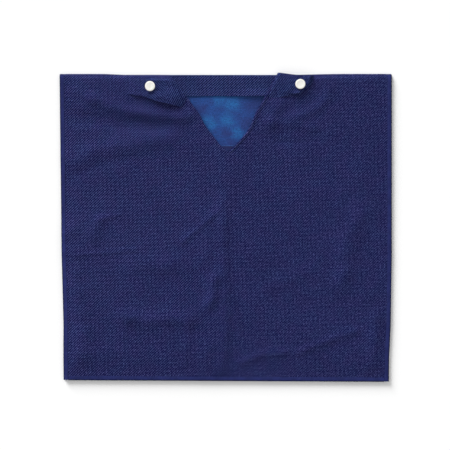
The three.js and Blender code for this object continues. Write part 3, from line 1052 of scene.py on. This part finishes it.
def closed_strip(name, rings, weave):
    """A closed tube of the same number of points in every ring, with both ends filled."""
    count, around = rings.shape[:2]
    points = rings.reshape(-1, 3)
    faces = []
    for k in range(count - 1):
        for j in range(around):
            a, b = k * around + j, k * around + (j + 1) % around
            faces.append((a, b, b + around, a + around))
    faces.append(tuple(range(around - 1, -1, -1)))
    faces.append(tuple((count - 1) * around + j for j in range(around)))
    obj = new_object(name, points, faces, weave.reshape(-1, 2))
    face_outwards(60)
    return obj


TAPE_TOP = 0.42  # how high a tape's inner edge stands over the cloth
STITCH_LINE = 0.72  # where on the tape its stitching runs, as a share of its width


def tape_section(panel, width):
    """A tape in section: the distance in from the cloth's edge and the height over the cloth's upper face.

    The front panel's tape is folded round both faces, and the back panel's stops at the ground.
    """
    leg = [(0.97 * width, TAPE_TOP), (0.5 * width, 0.46), (0.12 * width, 0.44)]
    fold = [(0.25, 0.36), (-0.3, 0.08), (-0.6, -0.4)]
    if panel == "front":
        under = [(-0.35, -0.85), (0.2, -1.12), (0.12 * width, -1.2), (0.95 * width, -1.18)]
        inner = [(0.95 * width, -0.9), (0.45, -0.88), (0.1, -0.4), (0.5, 0.06)]
    else:
        under = [(-0.55, -0.72)]
        inner = [(-0.22, -0.72), (-0.15, -0.3), (0.35, 0.08)]
    return np.array(leg + fold + under + inner + [(0.97 * width, 0.1)])


def along_line(points):
    """The distance along a line of points, and at each point the direction in to the cloth on its left."""
    steps = np.hypot(*np.diff(points, axis=0).T)
    at = np.concatenate([[0], np.cumsum(steps)])
    forward = np.gradient(points, at, axis=0)
    forward = forward / np.linalg.norm(forward, axis=1)[:, None]
    return at, np.stack([-forward[:, 1], forward[:, 0]], axis=-1)


def edge_tape(panel, part, line, height):
    """One piece of edging, following a line of points on the panel's edge, with the panel on its left."""
    section = tape_section(panel, bpy.context.scene.apron_sewing.tape_width)
    at, inward = along_line(line)
    rings, weave = [], []
    for distance, place, across in zip(at, line, inward):
        waver = 1 + 0.035 * noise.noise((distance / 25, 0.5, hash_of(panel + part)))
        plan = place[None, :] + across[None, :] * (section[:, :1] * waver)
        under = place[None, :] + across[None, :] * np.maximum(section[:, :1], 0.3)
        z = height(under[:, 0], under[:, 1]) + section[:, 1]
        rings.append(np.stack([plan[:, 0], laid(plan[:, 0], plan[:, 1]), z], axis=1))
        weave.append(np.stack([section[:, 0], np.full(len(section), distance)], axis=-1))
    tape = closed_strip(f"{panel}_{part}_tape", np.array(rings), np.array(weave))
    tape.data.materials.append(material("woven_tape"))
    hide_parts(f"{panel}_{part}_edging")
    return tape


def hash_of(text):
    """A small number that is the same for the same name every time."""
    return sum(ord(letter) * (k + 1) for k, letter in enumerate(text)) % 97 * 0.37


def taped_edges():
    """The three taped edges of a panel, each a line of points with the panel on its left hand."""
    left, right = CORNERS["low_left"], CORNERS["low_right"]
    top = TOP_EDGE - 0.6  # the tapes stop just short of the shoulder line
    up = {-1: np.linspace(left[1], top, 150), 1: np.linspace(right[1], top, 150)}
    sides = {side: np.stack([panel_side(side, ys), ys], axis=-1) for side, ys in up.items()}
    across = (right - left) / np.hypot(*(right - left))
    clear = bpy.context.scene.apron_sewing.tape_width + 0.3  # the hem's tape lies between the side tapes
    hem = np.linspace(left + across * clear, right - across * clear, 160)
    return [("left", sides[-1][::-1]), ("right", sides[1]), ("hem", hem)]


def move_with(piece, panel):
    """A front piece is baked into place, and a back piece rides on the back."""
    if panel == "back":
        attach(piece, "back")
    else:
        bend_at_shoulder(piece)


class APRON_OT_edging(bpy.types.Operator):
    """Make the tape round the sides and the hem of both panels, with its stitching"""

    bl_idname = "apron.edging"
    bl_label = "Edging"

    def execute(self, context):
        inset = STITCH_LINE * context.scene.apron_sewing.tape_width
        for panel, height in (("back", back_height), ("front", front_height)):
            for part, line in taped_edges():
                move_with(edge_tape(panel, part, line, height), panel)
                inner = (line + along_line(line)[1] * inset)[1:-1]
                row = stitch_row(f"{panel}_{part}_stitches", inner, lambda x, y: height(x, y) + TAPE_TOP)
                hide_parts(f"{panel}_{part}_edging_stitching")
                move_with(row, panel)
        return {"FINISHED"}


def one_stitch():
    """The points and faces of a stitch a millimetre long and wide, lying along +Y, centred on the origin."""
    deselect()
    bpy.ops.mesh.primitive_cylinder_add(vertices=6, radius=0.5, depth=1, end_fill_type="NGON")
    shape = bpy.context.object
    bpy.ops.object.mode_set(mode="EDIT")
    bpy.ops.mesh.select_all(action="SELECT")
    bpy.ops.mesh.bisect(plane_co=(0, 0, 0), plane_no=(0, 0, 1))
    bpy.ops.object.mode_set(mode="OBJECT")
    points = np.array([v.co for v in shape.data.vertices])
    faces = [tuple(p.vertices) for p in shape.data.polygons]
    bpy.data.objects.remove(shape)
    # The ends are drawn in and pulled down, where the thread goes into the cloth.
    ends = np.abs(points[:, 2]) > 0.4
    points[ends, :2] *= 0.55
    points[ends, 1] -= 0.45
    return points[:, [0, 2, 1]], faces


def stitch_row(name, line, height):
    """A row of stitches along a line of points, at a height that follows the cloth."""
    sewing = bpy.context.scene.apron_sewing
    shape, shape_faces = one_stitch()
    steps = np.hypot(*np.diff(line, axis=0).T)
    at = np.concatenate([[0], np.cumsum(steps)])
    count = max(1, int(at[-1] / sewing.stitch_pitch))
    points, faces, weave = [], [], []
    for k in range(count):
        middle = (k + 0.5) * at[-1] / count
        ends = [middle - sewing.stitch_length / 2, middle + sewing.stitch_length / 2]
        x = np.interp(ends, at, line[:, 0])
        y = np.interp(ends, at, line[:, 1])
        z = height(x, y) + 0.04
        a, b = np.stack([x, laid(x, y), z], axis=-1)
        forward = (b - a) / max(np.linalg.norm(b - a), 1e-6)
        across = np.cross(forward, [0, 0, 1])
        across = across / np.linalg.norm(across)
        up = np.cross(across, forward)
        size = [sewing.thread_width, np.linalg.norm(b - a), sewing.thread_width * 0.7]
        local = shape * size
        faces += [tuple(v + len(points) * len(shape) for v in face) for face in shape_faces]
        points.append((a + b) / 2 + local[:, :1] * across + local[:, 1:2] * forward + local[:, 2:] * up)
        weave.append(local[:, :2] + [0, middle])
    row = new_object(name, np.concatenate(points), faces, np.concatenate(weave))
    face_outwards(70)
    row.data.materials.append(material("sewing_thread"))
    return row


def level_line(low, high, y):
    """A level line between the ends of a box."""
    return np.array([[low[0], y], [high[0], y]])


class APRON_OT_seams(bpy.types.Operator):
    """Make the stitching of the neck, the band, the shoulders and the tabs' roots"""

    bl_idname = "apron.seams"
    bl_label = "Seams"

    def execute(self, context):
        self.neck_stitches()
        low, high = span("neck_band_stitching")
        line = level_line(low, high, np.mean([low[1], high[1]]))
        row = stitch_row("neck_band_stitches", line, lambda x, y: BAND_HIGH[2] + 0.35 + 0 * x)
        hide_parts("neck_band_stitching")
        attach(row, "back")
        for side in ("left", "right"):
            line = level_line(*span(side + "_shoulder_seam"), TOP_EDGE)
            row = stitch_row(side + "_shoulder_stitches", line, lambda x, y: SEAM_Z + 0 * x)
            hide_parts(side + "_shoulder_seam")
            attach(row, "back")
            row = self.root_stitches(side)
            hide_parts(side + "_tab_seam")
            bend_at_shoulder(row)
        return {"FINISHED"}

    def root_stitches(self, side):
        """One row where a tab is sewn to the front panel, slanting down to the right where its root does."""
        low, high = span(side + "_tab_seam")
        slope = high[1] - low[1] if high[1] - low[1] > 1 else 0
        line = np.array([[low[0], low[1] + slope], [high[0], low[1]]])
        return stitch_row(side + "_tab_stitches", line, lambda x, y: front_height(x, y) + 0.05)

    def neck_stitches(self):
        """One row down the left edge of the V and up the right one."""
        inset = 4.3
        ys = np.linspace(TOP_EDGE - 5, NECK_POINT[1] + 2, 60)
        left = np.stack([neck_x(-1, ys) - inset, ys], axis=-1)
        right = np.stack([neck_x(1, ys[::-1]) + inset, ys[::-1]], axis=-1)
        line = np.concatenate([left, [NECK_POINT - [0, inset]], right])
        row = stitch_row("v_neck_stitches", line, front_height)
        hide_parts("v_neck_stitching")
        bend_at_shoulder(row)


# ---------------------------------------------------------------- press studs


def snap_size(side, piece):
    """The lowest and highest point of a piece of a press stud, and its radius."""
    low, high = span(f"{side}_snap_{piece}")
    return low[2], high[2], (high[0] - low[0]) / 2


def add_disc(name, centre, radius, low, high):
    """A cylinder between two heights, ready to be shaped."""
    deselect()
    bpy.ops.mesh.primitive_cylinder_add(
        vertices=bpy.context.scene.apron_snaps.sides,
        radius=radius * MM,
        depth=(high - low) * MM,
        location=(centre[0] * MM, centre[1] * MM, (low + high) / 2 * MM),
    )
    disc = bpy.context.object
    disc.name = name
    disc.data.name = name
    bpy.ops.object.transform_apply(location=True, rotation=True, scale=True)
    return disc


def pick_end(disc, z, reach=0.02):
    """Selects the faces that lie level at height z."""
    bpy.ops.mesh.select_mode(type="FACE")
    bpy.ops.mesh.select_all(action="DESELECT")
    shape = bmesh.from_edit_mesh(disc.data)
    for face in shape.faces:
        level = all(abs(v.co.z / MM - z) < reach for v in face.verts)
        face.select_set(level)
    bmesh.update_edit_mesh(disc.data)


def step_in(thickness, rise=0.0):
    """Insets the selected end by thickness, then moves it up by rise."""
    bpy.ops.mesh.inset(thickness=thickness * MM)
    if rise:
        bpy.ops.transform.translate(value=(0, 0, rise * MM))


def draw_out(rise, scale=1.0):
    """Extrudes the selected end straight up by rise, and sizes it."""
    bpy.ops.mesh.extrude_region_move(TRANSFORM_OT_translate={"value": (0, 0, rise * MM)})
    if scale != 1.0:
        bpy.ops.transform.resize(value=(scale, scale, 1))


def finish_disc(disc, finish, node, body):
    """Softens a shaped disc's edges, and lets it stand for a piece of a press stud."""
    bpy.ops.object.mode_set(mode="OBJECT")
    edge = 0.12 * MM
    apply(disc, "BEVEL", width=edge, segments=3, limit_method="ANGLE", angle_limit=math.radians(35))
    face_outwards(40)
    disc.data.materials.append(material(finish))
    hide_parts(node)
    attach(disc, body)


class APRON_OT_snaps(bpy.types.Operator):
    """Make the two press studs, each a cap, a socket, a stud and a post"""

    bl_idname = "apron.snaps"
    bl_label = "Press Studs"

    def execute(self, context):
        for side in ("left", "right"):
            self.cap(side, context.scene.apron_snaps.rim)
            self.socket(side)
            self.stud(side)
            self.post(side)
        return {"FINISHED"}

    def cap(self, side, rim):
        """A low cap with a rounded rim and a shallow dish, on a short post."""
        high, radius = snap_size(side, "cap")[1:]
        under, brim = high - 2.2, high - 0.35
        cap = add_disc(side + "_cap", SNAP[side], radius, under, brim)
        bpy.ops.object.mode_set(mode="EDIT")
        pick_end(cap, brim)
        step_in(rim * 0.35, rim * 0.28)
        step_in(rim * 0.55, 0.1)
        step_in(radius * 0.22, 0.02)
        step_in(0.5, -0.16)
        step_in(radius * 0.2, -0.06)
        step_in(radius * 0.2, 0.02)
        pick_end(cap, under)
        step_in(0.5, -0.05)
        step_in(radius - 2.3)
        draw_out(-0.25)
        finish_disc(cap, "cap_plastic", side + "_snap_cap", side + "_tab")

    def socket(self, side):
        """A ring with a rolled edge and a hollow underneath that takes the stud."""
        low, high, radius = snap_size(side, "socket")
        socket = add_disc(side + "_socket", SNAP[side], radius, low, high)
        bpy.ops.object.mode_set(mode="EDIT")
        pick_end(socket, low)
        step_in(0.7)
        step_in(0.5, 0.35)
        step_in(radius - 4.1)
        step_in(0.3)
        draw_out(1.5)
        pick_end(socket, high)
        step_in(1.4, -0.2)
        step_in(1.2, 0.1)
        finish_disc(socket, "stud_plastic", side + "_snap_socket", side + "_tab")

    def stud(self, side):
        """A flange with a raised bulb that the socket grips."""
        low, _, radius = snap_size(side, "stud")
        flange = low + 0.9
        stud = add_disc(side + "_stud", SNAP[side], radius, low, flange)
        bpy.ops.object.mode_set(mode="EDIT")
        pick_end(stud, flange)
        step_in(0.6)
        step_in(0.5, -0.2)
        step_in(1.0, 0.2)
        step_in(radius - 4.1)
        draw_out(0.5)
        draw_out(0.35, 1.15)
        draw_out(0.5)
        draw_out(0.4, 0.82)
        step_in(0.8, -0.15)
        finish_disc(stud, "stud_plastic", side + "_snap_stud", "front")

    def post(self, side):
        """The round plate under the front panel, with the foot of its shank."""
        low, _, radius = snap_size(side, "post")
        plate = low + 0.9
        post = add_disc(side + "_post", SNAP[side], radius, low, plate)
        bpy.ops.object.mode_set(mode="EDIT")
        pick_end(post, low)
        step_in(0.9, 0.12)
        step_in(1.6, -0.1)
        pick_end(post, plate)
        step_in(0.4)
        step_in(radius - 1.6)
        draw_out(1.3)
        finish_disc(post, "stud_plastic", side + "_snap_post", "front")


# ---------------------------------------------------------------- stage


class APRON_OT_stage(bpy.types.Operator):
    """Make the floor, the light and the camera"""

    bl_idname = "apron.stage"
    bl_label = "Stage"

    def execute(self, context):
        settings = context.scene.apron_stage
        self.floor()
        self.light(context.scene, settings)
        self.camera(context.scene, settings)
        context.scene.view_settings.view_transform = "Standard"
        return {"FINISHED"}

    def floor(self):
        """A pale floor, wide enough to run past every view, just below the apron. Its sizes are in metres."""
        deselect()
        bpy.ops.mesh.primitive_plane_add(size=80, location=(0, 0, -0.0003))
        floor = bpy.context.object
        floor.name = "floor"
        paper, tree, shader = new_material("floor_paper")
        place = add(tree, "TexCoord").outputs["Object"]
        grain = add(tree, "TexNoise", {"Vector": place, "Scale": 4.0, "Detail": 4.0}).outputs["Fac"]
        tree.links.new(mix(tree, grain, (0.93, 0.93, 0.93), (0.96, 0.96, 0.96)), shader.inputs["Base Color"])
        shader.inputs["Roughness"].default_value = 0.9
        shader.inputs["Specular IOR Level"].default_value = 0.1
        floor.data.materials.append(paper)

    def light(self, scene, settings):
        """Light from all round, and one broad low lamp beyond the neck."""
        world = bpy.data.worlds.new("studio")
        scene.world = world
        world.use_nodes = True
        sky = world.node_tree.nodes["Background"].inputs
        sky["Color"].default_value = (1, 1, 1, 1)
        sky["Strength"].default_value = settings.ambient
        lamp = bpy.data.lights.new("key", "SUN")
        lamp.angle = settings.key_spread
        lamp.energy = settings.key
        key = bpy.data.objects.new("key", lamp)
        scene.collection.objects.link(key)
        slope, turn = settings.key_height, settings.key_turn
        key.location = (math.cos(slope) * math.cos(turn), math.cos(slope) * math.sin(turn), math.sin(slope))
        key.rotation_euler = (-key.location).to_track_quat("-Z", "Y").to_euler()

    def camera(self, scene, settings):
        """A camera straight above, as far off as its lens needs for the view's width."""
        view = bpy.data.cameras.new("camera")
        view.lens = settings.lens
        view.clip_end = 50
        camera = bpy.data.objects.new("camera", view)
        scene.collection.objects.link(camera)
        distance = settings.view_width * settings.lens / view.sensor_width
        camera.location = (settings.view_right * MM, settings.view_up * MM, (FRONT_TOP + distance) * MM)
        scene.camera = camera


class APRON_PT_sidebar(bpy.types.Panel):
    """The apron's pieces and settings"""

    bl_label = "Apron"
    bl_idname = "APRON_PT_sidebar"
    bl_space_type = "VIEW_3D"
    bl_region_type = "UI"
    bl_category = "Apron"

    def draw(self, context):
        for maker in MAKERS:
            self.layout.operator(maker.bl_idname)
        for name in SETTINGS:
            group = getattr(context.scene, name)
            box = self.layout.box()
            for key in group.bl_rna.properties.keys():
                if key not in ("rna_type", "name"):
                    box.prop(group, key)


# ---------------------------------------------------------------- registration


MAKERS = [
    APRON_OT_stage,
    APRON_OT_back_panel,
    APRON_OT_front_panel,
    APRON_OT_shoulder_tabs,
    APRON_OT_edging,
    APRON_OT_seams,
    APRON_OT_snaps,
]
SETTINGS = {
    "apron_cloth": ApronCloth,
    "apron_sewing": ApronSewing,
    "apron_snaps": ApronSnaps,
    "apron_stage": ApronStage,
}


def register():
    for kind in [*SETTINGS.values(), *MAKERS, APRON_PT_sidebar]:
        bpy.utils.register_class(kind)
    for name, kind in SETTINGS.items():
        setattr(bpy.types.Scene, name, PointerProperty(type=kind))


def unregister():
    for name in SETTINGS:
        delattr(bpy.types.Scene, name)
    for kind in reversed([*SETTINGS.values(), *MAKERS, APRON_PT_sidebar]):
        bpy.utils.unregister_class(kind)


def main():
    register()
    bpy.ops.apron.stage()
    bpy.ops.apron.back_panel()
    bpy.ops.apron.front_panel()
    bpy.ops.apron.shoulder_tabs()
    bpy.ops.apron.edging()
    bpy.ops.apron.seams()
    bpy.ops.apron.snaps()


if __name__ == "__main__":
    main()
